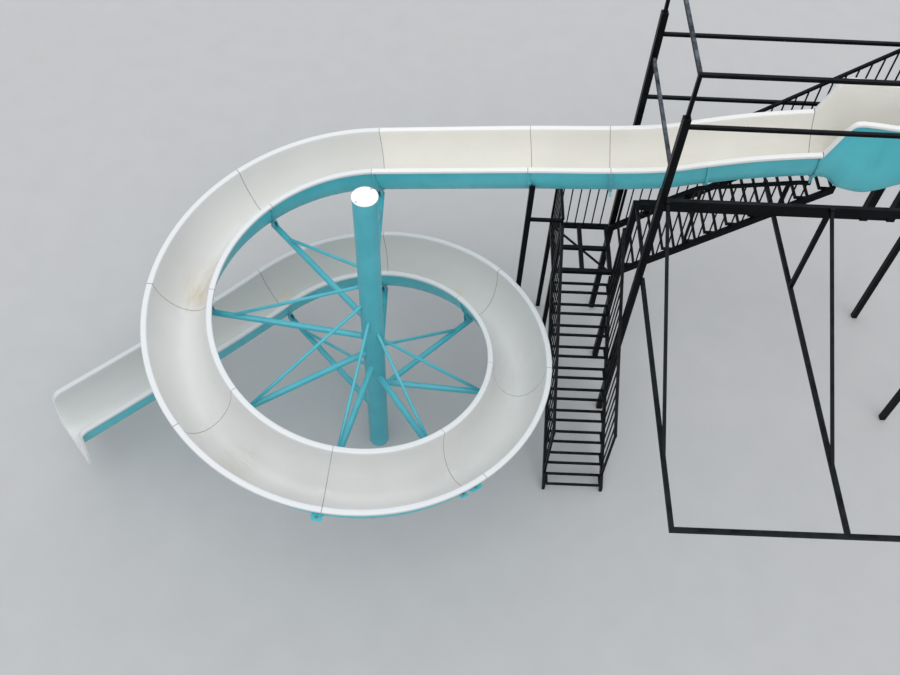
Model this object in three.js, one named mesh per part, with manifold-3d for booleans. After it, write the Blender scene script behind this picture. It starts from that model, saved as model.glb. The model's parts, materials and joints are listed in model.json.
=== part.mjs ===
// Water slide tower: an open flume starts in a deep tub on a square-tube stair tower,
// runs straight, winds 405 degrees around a round column and ends in a straight run-out.
// Millimetres, +Z up. The origin is on the ground, in the middle of the column's foot.
import * as THREE from 'three';
import Module from 'manifold-3d';
import { mergeVertices } from 'three/addons/utils/BufferGeometryUtils.js';

const wasm = await Module();
wasm.setup();

// Clearance between neighbouring pieces
const GAP = 0.3;

// Helix and the straight that leads into it
const HELIX_CENTRE_X = -222;
const HELIX_CENTRE_Y = 60;
const SLIDE_TURN = THREE.MathUtils.degToRad(-3.5);
const FLUME_RADIUS = 2083.5;
const HELIX_TOP_LIP = 3651;
const DROP_PER_RADIAN = 320.2;
const FIRST_JOINT_ANGLE = Math.PI / 2;
const BEND_ANGLE = Math.PI / 4;
const BEND_COUNT = 9;
const BEND_STEPS = 5;

// Height of the straight's lip at distances upstream of the helix
const STRAIGHT_LIP = [
  [0, 3651], [1942, 3900], [2942, 4008], [3608, 4112],
  [4067, 4250], [4517, 4378], [4958, 4475], [5317, 4540],
];
const STRAIGHT_JOINTS = [0, 1942, 2942, 5317];
const MIDDLE_RIB = 4083;
const JOINT_TILT = DROP_PER_RADIAN / FLUME_RADIUS;
const STRAIGHT_STEP = 420;

// Start tub: distance upstream, height of the rim, height of the underside
const TUB_PROFILE = [
  [5317, 4540, 3923], [5395, 4750, 3925], [5475, 4960, 3930], [5540, 5030, 3905],
  [5717, 5038, 3845], [5890, 5025, 3802], [6058, 5015, 3790], [6242, 5000, 3865],
  [6400, 4990, 3965], [6505, 4985, 4025],
];
const TUB_TILT_FADE = 400;
const PAST_TUB_MOUTH = 4;

// Run-out at the bottom
const RUN_OUT_LENGTH = 3285;
const RUN_OUT_DROP = 126;
const RUN_OUT_FADE = 800;
const RUN_OUT_STEPS = 5;
const END_CORNER = 130;
const END_CORNER_MIDDLE = 0.4;
const END_CORNER_REACH = 0.96;
const END_TILT = -0.1;

// Flat panel across the open end: thickness, half width, depth below the rim, corner cut,
// and how far it reaches into the shell and the rim
const PANEL_THICKNESS = 40;
const PANEL_HALF_WIDTH = 410;
const PANEL_DEPTH = 715;
const PANEL_CUT = 15;
const PANEL_LAP = 6;

// Flume section, measured from the middle of the flume and from the lip's top
const LIP_HALF_WIDTH = 412;
const LIP_THICKNESS = 12;
const LIP_DROP = 42;
const RIM_THICKNESS = 14;
const BOWL_HALF_WIDTH = 352;
const FLUME_DEPTH = 617;
const SHELL = 12;
const BOWL_STEPS = 5;
const RIM_ROLL = 18;
const ROLL_WIDTH = 5;
const RIB_HEIGHT = 28;
const RIB_WIDTH = 16;

// Fullness of the bowl: 2 is an ellipse, more has fuller corners
const ROUND_BOWL = 2;
const FULL_BOWL = 4;

// Central column and the arms that carry the helix
const COLUMN_RADIUS = 136.5;
const COLUMN_HEIGHT = 5000;
const COLUMN_SIDES = 32;
const CAP_RADIUS = 141;
const CAP_THICKNESS = 9;
const STRUT_RADIUS = 40;
const TIE_RADIUS = 21;
const STRUT_REACH = 1900;
const TIE_REACH = 1600;
const STRUT_ROOT_BELOW_LIP = 625;
const STRUT_END_BELOW_LIP = 588;
const TIE_ROOT_ABOVE_LIP = 365;
const STRUT_SIDES = 10;
const TIE_SIDES = 8;
const SHOE_LENGTH = 110;
const SHOE_WIDTH = 60;
const SHOE_HEIGHT = 160;

// Stair tower
const POST = 80;
const THIN_POST = 40;
const LEFT_X = 3255;
const RIGHT_X = 7535;
const FRONT_Y = 683;
const MIDDLE_Y = 1642;
const BACK_Y = 2600;
const TOP_Z = 6200;
const FRONT_THICK_TOP = 5640;
const BACK_THICK_TOP = 5530;
const MIDDLE_POST_TOP = 3400;
const BEAM_DEPTH = 130;
const BEAM_WIDTH = 50;
const RAIL = 40;
const SLIM_RAIL = 40;
const DECK_TOP = 4450;
const DECK_LEFT_X = 6440;
const DECK_PLATE = 20;
const DECK_JOIST = 60;
const BACK_BEAM_Z = 4300;
const BACK_HIGH_RAIL_Z = 5230;
const FRONT_GUARD_Z = 5520;
const SIDE_RAIL_Z = 4900;
const RIGHT_GUARD_Z = 5440;
const SIDE_BRACE_Z = 3380;

// Open frame over the patio beside the tower
const CANOPY_Z = 3000;
const CANOPY_BAR = 50;
const CANOPY_FRONT_Y = -2640;
const CANOPY_MIDDLE_X = 5167;
const CANOPY_MIDDLE_BACK_Y = 2540;
const CANOPY_TIE_Y = -1850;
const CANOPY_TIE = 36;
const EAR_THICKNESS = 30;
const EAR_HEIGHT = 60;

// Stairs
const STRINGER_WIDTH = 40;
const STRINGER_DEPTH = 120;
const STRINGER_BELOW_NOSING = 70;
const GOING = 242;
const TREAD_DEPTH = 190;
const TREAD_BAR = 30;
const LANDING_TOP = 1940;
const LOWER_STEPS = 11;
const LOWER_FRONT_Y = -732;
const LOWER_LEFT_X = 2353;
const LOWER_RIGHT_X = 3203;
const LANDING_FRONT_Y = 1688;
const LANDING_BACK_Y = 2600;
const LANDING_BEAM = 60;
const LANDING_DIAGONAL = 18;
const CROSS_BAR_LIFT = 10;
const DIAGONAL_LIFT = 20;
const UPPER_STEPS = 14;
const UPPER_FIRST_X = 3290;
const UPPER_NEAR_Y = 1660;
const UPPER_FAR_Y = 2540;
const NARROW_FROM_STEP = 11;
const NARROW_NEAR_Y = 2190;
const NEAR_STRINGER_END_X = 5660;
const STRINGER_LAP = 90;

// Railings
const HANDRAIL = 40;
const HANDRAIL_ABOVE_NOSING = 1040;
const BOTTOM_RAIL = 12;
const SUNK_SHARE = 0.6;
const RAILING_SETBACK = 165;
const RAILING_END_GAP = 60;
const LANDING_RAIL_LIFT = 20;
const LANDING_RAIL_SETBACK = 5;
const FAR_RAILING_SHORT = 50;
const BALUSTER = 16;
const BALUSTER_PITCH = 121;
const NEWEL = 34;
const NEWEL_THICKNESS = 28;
const TOP_NEWEL = 70;
const NEAR_HANDRAIL_Z = 3400;
const NEAR_HANDRAIL_BENDS = [[3545, NEAR_HANDRAIL_Z], [3970, 3680], [5190, 3850]];
const NEAR_HANDRAIL_END = [5330, 3850];
const NEAR_NEWELS_X = [3545, 4030, 5080];

// What carries the straight and the tub
const LEG_CUT_REACH = 200;
const STRAIGHT_LEG = 70;
const LEG_PAST_JOINT = 90;
const LEG_ASIDE = 333;
const LEG_TOP_BELOW_LIP = 330;
const LEG_ARM = 40;
const TUB_POST = 100;
const TUB_POST_X = 6170;
const TUB_POST_TOP = 4000;
const DECK_PROP_X = 6515;
const CROSS_BEAM_Y = 1630;
const CROSS_BEAM_WIDTH = 58;
const CROSS_BEAM_DEPTH = 100;
const CROSS_BEAM_TOP = 3400;

const mat = (color, roughness, metalness) => new THREE.MeshStandardMaterial({ color, roughness, metalness });
const part = new THREE.Group();
const slide = new THREE.Group();
slide.position.set(HELIX_CENTRE_X, HELIX_CENTRE_Y, 0);
slide.rotation.z = SLIDE_TURN;
part.add(slide);

function addPiece(name, geometry, material, parent = part) {
  const mesh = new THREE.Mesh(geometry, material);
  mesh.name = name;
  parent.add(mesh);
}

const flumeMaterial = () => mat(0x48a0ac, 0.35, 0.0);
const columnMaterial = () => mat(0x55afb9, 0.45, 0.2);
const steelMaterial = () => mat(0x191b1e, 0.5, 0.4);

// Joining and cutting
function weld(geometry) {
  const bare = geometry.clone();
  bare.deleteAttribute('normal');
  bare.deleteAttribute('uv');
  return mergeVertices(bare);
}

function toSolid(geometry) {
  const merged = weld(geometry);
  return new wasm.Manifold(new wasm.Mesh({
    numProp: 3,
    vertProperties: new Float32Array(merged.attributes.position.array),
    triVerts: new Uint32Array(merged.index.array),
  }));
}

function toGeometry(solid) {
  const mesh = solid.getMesh();
  const geometry = new THREE.BufferGeometry();
  geometry.setAttribute('position', new THREE.BufferAttribute(new Float32Array(mesh.vertProperties), 3));
  geometry.setIndex(new THREE.BufferAttribute(new Uint32Array(mesh.triVerts), 1));
  geometry.computeVertexNormals();
  return geometry;
}

function fuse(geometries, tools = []) {
  const whole = geometries.map(toSolid).reduce((sum, next) => sum.add(next));
  return toGeometry(tools.map(toSolid).reduce((rest, tool) => rest.subtract(tool), whole));
}

// Plain shapes
function block(x0, x1, y0, y1, z0, z1) {
  const geometry = new THREE.BoxGeometry(1, 1, 1);
  const corners = geometry.attributes.position;
  const pick = (value, low, high) => (value > 0 ? high : low);
  for (let i = 0; i < corners.count; i += 1) {
    corners.setX(i, pick(corners.getX(i), x0, x1));
    corners.setY(i, pick(corners.getY(i), y0, y1));
    corners.setZ(i, pick(corners.getZ(i), z0, z1));
  }
  return geometry;
}

function upright(x, y, side, z0, z1) {
  return block(x - side / 2, x + side / 2, y - side / 2, y + side / 2, z0, z1);
}

function drum(radius, height, sides) {
  const geometry = weld(new THREE.CylinderGeometry(radius, radius, height, sides));
  return geometry.rotateX(Math.PI / 2).translate(0, 0, height / 2);
}

function rod(from, to, radius, sides) {
  const along = to.clone().sub(from);
  const geometry = drum(radius, along.length(), sides);
  const turn = new THREE.Quaternion().setFromUnitVectors(new THREE.Vector3(0, 0, 1), along.normalize());
  return geometry.applyQuaternion(turn).translate(from.x, from.y, from.z);
}

// A band in an upright plane: points are distance along the plane and height.
// Planes face along X when across is 'x', and along Y when it is 'y'.
function band(across, start, width, points) {
  const shape = new THREE.Shape(points.map(([s, z]) => new THREE.Vector2(s, z)));
  const geometry = new THREE.ExtrudeGeometry(shape, { depth: width, bevelEnabled: false });
  const up = new THREE.Vector3(0, 0, 1);
  const along = across === 'x' ? new THREE.Vector3(0, 1, 0) : new THREE.Vector3(1, 0, 0);
  const out = along.clone().cross(up);
  const frame = new THREE.Matrix4().makeBasis(along, up, out);
  if (across === 'x') {
    frame.setPosition(start, 0, 0);
  } else {
    frame.setPosition(0, start + width, 0);
  }
  return geometry.applyMatrix4(frame);
}

function thicken(line, above, below) {
  const top = line.map(([s, z]) => [s, z + above]);
  const bottom = line.map(([s, z]) => [s, z - below]);
  return [...bottom, ...top.reverse()];
}

function heightOn(line, s) {
  const found = line.findIndex(([x]) => x >= s);
  const next = found < 0 ? line.length - 1 : Math.max(1, found);
  const [x0, z0] = line[next - 1];
  const [x1, z1] = line[next];
  return z0 + (z1 - z0) * (s - x0) / (x1 - x0);
}

// A height that passes smoothly through the listed points
function smoothHeight(line, s) {
  const last = line.length - 1;
  const slope = (i) => {
    const [x0, z0] = line[Math.max(0, i - 1)];
    const [x1, z1] = line[Math.min(last, i + 1)];
    return (z1 - z0) / (x1 - x0);
  };
  const found = line.findIndex(([x]) => x >= s);
  const next = Math.max(1, found < 0 ? last : found);
  const [x0, z0] = line[next - 1];
  const [x1, z1] = line[next];
  const span = x1 - x0;
  const t = (s - x0) / span;
  const rise = z0 * (2 * t ** 3 - 3 * t ** 2 + 1) + z1 * (3 * t ** 2 - 2 * t ** 3);
  return rise + span * (slope(next - 1) * (t ** 3 - 2 * t ** 2 + t) + slope(next) * (t ** 3 - t ** 2));
}

// Flume section: outside from one lip to the other, then back along the inside
function bowl(halfWidth, depth, fullness) {
  const points = [];
  for (let i = 0; i < BOWL_STEPS; i += 1) {
    const turn = ((i + 0.5) / BOWL_STEPS) * Math.PI / 2;
    points.push([halfWidth * Math.cos(turn) ** (2 / fullness), -depth * Math.sin(turn) ** (2 / fullness)]);
  }
  return points;
}

function mirrored(half) {
  return half.map(([x, z]) => [-x, z]).reverse();
}

function flumeOutline(depth = FLUME_DEPTH, rib = 0, fullness = ROUND_BOWL) {
  const outside = [
    [LIP_HALF_WIDTH, 0],
    [LIP_HALF_WIDTH, -LIP_DROP],
    [LIP_HALF_WIDTH - LIP_THICKNESS, -LIP_DROP],
    [LIP_HALF_WIDTH - LIP_THICKNESS, -RIM_THICKNESS],
    [BOWL_HALF_WIDTH + rib, -RIM_THICKNESS],
    ...bowl(BOWL_HALF_WIDTH + rib, depth + rib, fullness),
  ];
  const inner = BOWL_HALF_WIDTH - SHELL;
  const inside = [[inner + ROLL_WIDTH, 0], [inner, -RIM_ROLL], ...bowl(inner, depth - SHELL, fullness)];
  const outline = [...outside, ...mirrored(outside), ...mirrored(inside).reverse(), ...inside.reverse()];
  return outline.map(([x, z]) => new THREE.Vector2(x, z)).reverse();
}

// The outer form of a flume with a little air, used to trim what carries it
function clearanceOutline(depth = FLUME_DEPTH, rib = RIB_HEIGHT, fullness = ROUND_BOWL) {
  const half = [[LIP_HALF_WIDTH + GAP, 0], [LIP_HALF_WIDTH + GAP, -LIP_DROP - GAP],
    ...bowl(BOWL_HALF_WIDTH + rib + GAP, depth + rib + GAP, fullness)];
  return [...half, ...mirrored(half)].map(([x, z]) => new THREE.Vector2(x, z)).reverse();
}

// Closed body through a row of sections
function loft(sections) {
  const count = sections[0].outline.length;
  const positions = sections.flatMap(({ outline, place }) => (
    outline.flatMap((v) => place(v.x, v.y).toArray())));
  const index = [];
  for (let ring = 0; ring + 1 < sections.length; ring += 1) {
    for (let i = 0; i < count; i += 1) {
      const a = ring * count + i;
      const b = ring * count + (i + 1) % count;
      index.push(a, a + count, b, b, a + count, b + count);
    }
  }
  const last = (sections.length - 1) * count;
  THREE.ShapeUtils.triangulateShape(sections[0].outline, []).forEach(([a, b, c]) => index.push(a, b, c));
  THREE.ShapeUtils.triangulateShape(sections.at(-1).outline, [])
    .forEach(([a, b, c]) => index.push(last + a, last + c, last + b));
  const geometry = new THREE.BufferGeometry();
  geometry.setAttribute('position', new THREE.Float32BufferAttribute(positions, 3));
  geometry.setIndex(index);
  return tidy(geometry);
}

// Merges equal corners, drops triangles without area and turns the faces outward
function tidy(geometry) {
  const merged = mergeVertices(geometry, 1e-3);
  const old = merged.index.array;
  const at = (i) => new THREE.Vector3().fromBufferAttribute(merged.attributes.position, i);
  const triangles = [];
  let volume = 0;
  for (let i = 0; i < old.length; i += 3) {
    const [a, b, c] = [old[i], old[i + 1], old[i + 2]];
    if (a !== b && b !== c && a !== c) {
      triangles.push([a, b, c]);
      volume += at(a).dot(at(b).cross(at(c)));
    }
  }
  merged.setIndex(triangles.flatMap(([a, b, c]) => (volume > 0 ? [a, b, c] : [a, c, b])));
  merged.computeVertexNormals();
  return merged;
}

// Stations along the slide, in the slide's own frame. A joint stands square to the
// sloping flume, so its lower side lies further upstream by the tilt.
function helixPlace(angle) {
  const lip = HELIX_TOP_LIP - DROP_PER_RADIAN * (angle - FIRST_JOINT_ANGLE);
  const out = new THREE.Vector3(Math.cos(angle), Math.sin(angle), 0);
  const along = new THREE.Vector3(-Math.sin(angle), Math.cos(angle), 0);
  return (x, z) => out.clone().multiplyScalar(FLUME_RADIUS + x)
    .addScaledVector(along, JOINT_TILT * z).setZ(lip + z);
}

function straightPlace(distance, lip, tilt = JOINT_TILT) {
  return (x, z) => new THREE.Vector3(distance - tilt * z, FLUME_RADIUS + x, lip + z);
}

const LAST_JOINT_ANGLE = FIRST_JOINT_ANGLE + BEND_COUNT * BEND_ANGLE;
const RUN_OUT_TOP_LIP = HELIX_TOP_LIP - DROP_PER_RADIAN * BEND_COUNT * BEND_ANGLE;

function runOutLip(distance) {
  const whole = 1 - Math.exp(-RUN_OUT_LENGTH / RUN_OUT_FADE);
  const fall = RUN_OUT_DROP * (1 - Math.exp(-distance / RUN_OUT_FADE)) / whole;
  const past = Math.max(0, distance - (RUN_OUT_LENGTH - END_CORNER));
  const corner = END_CORNER - Math.sqrt(END_CORNER ** 2 - Math.min(past, END_CORNER * END_CORNER_REACH) ** 2);
  return [RUN_OUT_TOP_LIP - fall, corner];
}

function runOutPlace(distance, lip) {
  const out = new THREE.Vector3(Math.cos(LAST_JOINT_ANGLE), Math.sin(LAST_JOINT_ANGLE), 0);
  const along = new THREE.Vector3(-out.y, out.x, 0);
  const tilt = JOINT_TILT + (END_TILT - JOINT_TILT) * distance / RUN_OUT_LENGTH;
  return (x, z) => out.clone().multiplyScalar(FLUME_RADIUS + x)
    .addScaledVector(along, distance + tilt * z).setZ(lip + z);
}

// A length of flume from one joint to the next, with a rib at each end
function flumeLength(from, to, steps, ribSpan, stationAt, middleRib = null) {
  const way = Math.sign(to - from);
  const inner = from + way * ribSpan;
  const outer = to - way * ribSpan;
  const between = [];
  for (let i = 0; i <= steps; i += 1) {
    between.push([inner + (outer - inner) * i / steps, 0]);
  }
  if (middleRib !== null) {
    const [near, far] = [middleRib - way * ribSpan, middleRib + way * ribSpan];
    const next = between.findIndex(([place]) => (place - middleRib) * way > 0);
    between.splice(next, 0, [near, 0], [near, RIB_HEIGHT], [far, RIB_HEIGHT], [far, 0]);
  }
  const first = [[from, RIB_HEIGHT], [inner, RIB_HEIGHT]];
  const last = [[outer, RIB_HEIGHT], [to, RIB_HEIGHT]];
  return loft([...first, ...between, ...last].map(([place, rib]) => stationAt(place, rib)));
}

function addBends() {
  const halfGap = GAP / 2 / FLUME_RADIUS;
  const station = (angle, rib) => ({ outline: flumeOutline(FLUME_DEPTH, rib), place: helixPlace(angle) });
  for (let i = 0; i < BEND_COUNT; i += 1) {
    const start = FIRST_JOINT_ANGLE + i * BEND_ANGLE + halfGap;
    const end = FIRST_JOINT_ANGLE + (i + 1) * BEND_ANGLE - halfGap;
    const geometry = flumeLength(start, end, BEND_STEPS, RIB_WIDTH / FLUME_RADIUS, station);
    addPiece(`bend_${i + 1}`, geometry, flumeMaterial(), slide);
  }
}

function addStraights() {
  const station = (distance, rib) => ({
    outline: flumeOutline(FLUME_DEPTH, rib),
    place: straightPlace(distance, smoothHeight(STRAIGHT_LIP, distance)),
  });
  for (let i = 0; i + 1 < STRAIGHT_JOINTS.length; i += 1) {
    const lower = STRAIGHT_JOINTS[i] + GAP / 2;
    const upper = STRAIGHT_JOINTS[i + 1] - GAP / 2;
    const steps = Math.ceil((upper - lower) / STRAIGHT_STEP);
    const middleRib = MIDDLE_RIB > lower && MIDDLE_RIB < upper ? MIDDLE_RIB : null;
    const geometry = flumeLength(upper, lower, steps, RIB_WIDTH, station, middleRib);
    addPiece(`straight_${i + 1}`, geometry, flumeMaterial(), slide);
  }
}

function addStartTub() {
  const rim = TUB_PROFILE.map(([s, top]) => [s, top]);
  const belly = TUB_PROFILE.map(([s, , bottom]) => [s, bottom]);
  const station = (distance, rib) => {
    const top = heightOn(rim, distance);
    const depth = top - heightOn(belly, distance);
    const past = Math.min(1, (distance - TUB_PROFILE[0][0]) / TUB_TILT_FADE);
    const fullness = ROUND_BOWL + (FULL_BOWL - ROUND_BOWL) * past;
    return {
      outline: flumeOutline(depth, rib, fullness),
      place: straightPlace(distance, top, JOINT_TILT * (1 - past)),
    };
  };
  const first = TUB_PROFILE[0][0] + GAP / 2;
  const last = TUB_PROFILE.at(-1)[0];
  const between = TUB_PROFILE.slice(1, -1).map(([s]) => station(s, 0)).reverse();
  addPiece('start_tub', loft([
    station(last, RIB_HEIGHT), station(last - RIB_WIDTH, RIB_HEIGHT), station(last - RIB_WIDTH, 0),
    ...between,
    station(first + RIB_WIDTH, 0), station(first + RIB_WIDTH, RIB_HEIGHT), station(first, RIB_HEIGHT),
  ]), flumeMaterial(), slide);
}

// The end panel's outline, square outside and following the bowl inside
function panelOutline(corner) {
  const low = corner - PANEL_DEPTH;
  const outer = [
    [PANEL_HALF_WIDTH, -PANEL_LAP], [PANEL_HALF_WIDTH, low + PANEL_CUT], [PANEL_HALF_WIDTH - PANEL_CUT, low],
  ];
  const half = BOWL_HALF_WIDTH - PANEL_LAP;
  const inner = [[half, -PANEL_LAP], ...bowl(half, FLUME_DEPTH - corner - PANEL_LAP, ROUND_BOWL)];
  const outline = [...outer, ...mirrored(outer), ...mirrored(inner).reverse(), ...inner.reverse()];
  return outline.map(([x, z]) => new THREE.Vector2(x, z)).reverse();
}

function addRunOut() {
  const station = (distance, rib) => {
    const [lip, corner] = runOutLip(distance);
    return { outline: flumeOutline(FLUME_DEPTH - corner, rib), place: runOutPlace(distance, lip - corner) };
  };
  const start = GAP / 2;
  const cornerStart = RUN_OUT_LENGTH - END_CORNER;
  const distances = [];
  for (let i = 0; i <= RUN_OUT_STEPS; i += 1) {
    distances.push(start + RIB_WIDTH + (cornerStart - start - RIB_WIDTH) * i / RUN_OUT_STEPS);
  }
  const panelStart = RUN_OUT_LENGTH - PANEL_THICKNESS;
  distances.push(cornerStart + END_CORNER * END_CORNER_MIDDLE, panelStart, RUN_OUT_LENGTH);
  const flume = loft([
    station(start, RIB_HEIGHT), station(start + RIB_WIDTH, RIB_HEIGHT),
    ...distances.map((distance) => station(distance, 0)),
  ]);
  const panel = loft([panelStart, RUN_OUT_LENGTH].map((distance) => {
    const [lip, corner] = runOutLip(distance);
    return { outline: panelOutline(corner), place: runOutPlace(distance, lip - corner) };
  }));
  addPiece('run_out', fuse([flume, panel]), flumeMaterial(), slide);
}

// A place given in the slide's frame, in the part's frame
function fromSlide(point) {
  return point.applyAxisAngle(new THREE.Vector3(0, 0, 1), SLIDE_TURN).add(slide.position);
}

function slideBlank(places) {
  const sections = places.map((place) => ({ outline: clearanceOutline(), place }));
  const geometry = loft(sections);
  geometry.rotateZ(SLIDE_TURN);
  return geometry.translate(HELIX_CENTRE_X, HELIX_CENTRE_Y, 0);
}

// Column and arms
function addColumn() {
  addPiece('central_column', drum(COLUMN_RADIUS, COLUMN_HEIGHT, COLUMN_SIDES), columnMaterial());
  const cap = drum(CAP_RADIUS, CAP_THICKNESS, COLUMN_SIDES).translate(0, 0, COLUMN_HEIGHT + GAP);
  addPiece('column_cap', cap, mat(0xf2f2f0, 0.5, 0.0));
}

function addArms() {
  const column = drum(COLUMN_RADIUS + GAP, COLUMN_HEIGHT, COLUMN_SIDES);
  const rootDistance = COLUMN_RADIUS - STRUT_RADIUS;
  const blankSide = 0.06;
  for (let i = 0; i <= BEND_COUNT; i += 1) {
    const angle = FIRST_JOINT_ANGLE + i * BEND_ANGLE;
    const lip = HELIX_TOP_LIP - DROP_PER_RADIAN * i * BEND_ANGLE;
    const reach = (radius, below) => fromSlide(helixPlace(angle)(radius - FLUME_RADIUS, -below));
    const tip = reach(STRUT_REACH, STRUT_END_BELOW_LIP);
    const root = new THREE.Vector3(tip.x, tip.y, 0).normalize().multiplyScalar(rootDistance);
    const strutRoot = root.clone().setZ(lip - STRUT_ROOT_BELOW_LIP);
    const tieRoot = root.clone().setZ(lip + TIE_ROOT_ABOVE_LIP);
    const tieEnd = strutRoot.clone().lerp(tip, TIE_REACH / STRUT_REACH);
    const seat = reach(STRUT_REACH - SHOE_LENGTH / 2, STRUT_END_BELOW_LIP);
    const shoe = new THREE.BoxGeometry(SHOE_LENGTH, SHOE_WIDTH, SHOE_HEIGHT);
    shoe.rotateZ(angle + SLIDE_TURN).translate(seat.x, seat.y, seat.z + SHOE_HEIGHT / 2);
    const trims = [column, slideBlank([angle - blankSide, angle, angle + blankSide].map(helixPlace))];
    const strut = rod(strutRoot, tip, STRUT_RADIUS, STRUT_SIDES);
    const tie = rod(tieRoot, tieEnd, TIE_RADIUS, TIE_SIDES);
    addPiece(`arm_${i + 1}`, fuse([strut, tie, shoe], trims), columnMaterial());
  }
}

// Posts and long rails of the tower
function steppedPost(x, y, thickTop) {
  return fuse([upright(x, y, POST, 0, thickTop), upright(x, y, THIN_POST, thickTop - 1, TOP_Z)]);
}

function addTowerPosts() {
  addPiece('front_left_post', steppedPost(LEFT_X, FRONT_Y, FRONT_THICK_TOP), steelMaterial());
  addPiece('middle_left_post', upright(LEFT_X, MIDDLE_Y, POST, 0, MIDDLE_POST_TOP), steelMaterial());
  addPiece('back_left_post', steppedPost(LEFT_X, BACK_Y, BACK_THICK_TOP), steelMaterial());
  addPiece('front_right_post', steppedPost(RIGHT_X, FRONT_Y, FRONT_THICK_TOP), steelMaterial());
  addPiece('back_right_post', steppedPost(RIGHT_X, BACK_Y, BACK_THICK_TOP), steelMaterial());
}

function railAlongX(name, y, z, width, depth, post) {
  const reach = post / 2 + GAP;
  const geometry = block(LEFT_X + reach, RIGHT_X - reach, y - width / 2, y + width / 2, z - depth, z);
  addPiece(name, geometry, steelMaterial());
}

function railAlongY(name, x, z, size, post) {
  const reach = post / 2 + GAP;
  const half = size / 2;
  const geometry = block(x - half, x + half, FRONT_Y + reach, BACK_Y - reach, z - half, z + half);
  addPiece(name, geometry, steelMaterial());
}

function addTowerRails() {
  const half = RAIL / 2;
  railAlongX('front_beam', FRONT_Y, DECK_TOP, BEAM_WIDTH, BEAM_DEPTH, POST);
  railAlongX('back_beam', BACK_Y, BACK_BEAM_Z + half, RAIL, RAIL, POST);
  railAlongX('front_guard_rail', FRONT_Y, FRONT_GUARD_Z + half, RAIL, RAIL, POST);
  railAlongX('front_top_rail', FRONT_Y, TOP_Z, RAIL, RAIL, THIN_POST);
  railAlongX('back_guard_rail', BACK_Y, BACK_HIGH_RAIL_Z + half, RAIL, RAIL, POST);
  railAlongX('back_top_rail', BACK_Y, TOP_Z, RAIL, RAIL, THIN_POST);
  railAlongY('left_side_rail', LEFT_X, SIDE_RAIL_Z, SLIM_RAIL, POST);
  railAlongY('left_top_rail', LEFT_X, TOP_Z - half, RAIL, THIN_POST);
  railAlongY('right_side_rail', RIGHT_X, SIDE_RAIL_Z, SLIM_RAIL, POST);
  railAlongY('right_guard_rail', RIGHT_X, RIGHT_GUARD_Z, SLIM_RAIL, POST);
  railAlongY('right_top_rail', RIGHT_X, TOP_Z - half, RAIL, THIN_POST);
  const brace = SLIM_RAIL / 2;
  const reach = POST / 2 + GAP;
  addPiece('side_brace', block(LEFT_X - brace, LEFT_X + brace, FRONT_Y + reach, MIDDLE_Y - reach,
    SIDE_BRACE_Z - brace, SIDE_BRACE_Z + brace), steelMaterial());
}

function addDeck() {
  const right = RIGHT_X - POST / 2 - GAP;
  const front = FRONT_Y + BEAM_WIDTH / 2 + GAP;
  const back = BACK_Y + RAIL / 2;
  const joistBottom = BACK_BEAM_Z + RAIL / 2 + GAP;
  const joistTop = DECK_TOP - DECK_PLATE + 1;
  const pieces = [block(DECK_LEFT_X, right, front, back, DECK_TOP - DECK_PLATE, DECK_TOP)];
  const joistCount = 4;
  for (let i = 0; i < joistCount; i += 1) {
    const x = DECK_LEFT_X + (right - DECK_LEFT_X - DECK_JOIST) * i / (joistCount - 1);
    pieces.push(block(x, x + DECK_JOIST, front, back, joistBottom, joistTop));
  }
  addPiece('deck', fuse(pieces), steelMaterial());
}

function addCanopyFrame() {
  const half = CANOPY_BAR / 2;
  const low = CANOPY_Z - half;
  const high = CANOPY_Z + half;
  const reach = POST / 2 + GAP + half;
  const sideBack = FRONT_Y + POST / 2;
  const [left, right] = [LEFT_X + reach, RIGHT_X - reach];
  const bars = [[left, sideBack], [CANOPY_MIDDLE_X, CANOPY_MIDDLE_BACK_Y], [right, sideBack]];
  const pieces = [
    block(left - half, right + half, CANOPY_FRONT_Y - half, CANOPY_FRONT_Y + half, low, high),
  ];
  const beamFace = FRONT_Y - BEAM_WIDTH / 2 - GAP;
  bars.forEach(([x, back]) => {
    pieces.push(block(x - half, x + half, CANOPY_FRONT_Y, back, low, high));
    const earFace = beamFace - EAR_THICKNESS;
    const ear = block(x - half, x + half, earFace, beamFace, DECK_TOP - EAR_HEIGHT, DECK_TOP);
    const line = [[CANOPY_TIE_Y, CANOPY_Z], [(earFace + beamFace) / 2, DECK_TOP - EAR_HEIGHT / 2]];
    const halfTie = CANOPY_TIE / 2;
    pieces.push(ear, band('x', x - halfTie, CANOPY_TIE, thicken(line, halfTie, halfTie)));
  });
  pieces.push(upright(CANOPY_MIDDLE_X, FRONT_Y, CANOPY_BAR, CANOPY_Z, DECK_TOP - BEAM_DEPTH - GAP));
  addPiece('canopy_frame', fuse(pieces), steelMaterial());
}

// Stairs
function treadFrame(x0, x1, y0, y1, top) {
  const b = TREAD_BAR;
  const points = (corners) => corners.map(([x, y]) => new THREE.Vector2(x, y));
  const ring = new THREE.Shape(points([[x0, y0], [x1, y0], [x1, y1], [x0, y1]]));
  const inner = [[x0 + b, y0 + b], [x0 + b, y1 - b], [x1 - b, y1 - b], [x1 - b, y0 + b]];
  ring.holes.push(new THREE.Path(points(inner)));
  const geometry = new THREE.ExtrudeGeometry(ring, { depth: b, bevelEnabled: false });
  return geometry.translate(0, 0, top - b);
}

const LOWER_RISE = LANDING_TOP / LOWER_STEPS;
const UPPER_RISE = (DECK_TOP - LANDING_TOP) / UPPER_STEPS;
const lowerNosing = (y) => LOWER_RISE * (1 + (y - LOWER_FRONT_Y) / GOING);
const upperNosing = (x) => LANDING_TOP + UPPER_RISE * (1 + (x - UPPER_FIRST_X) / GOING);

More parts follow.
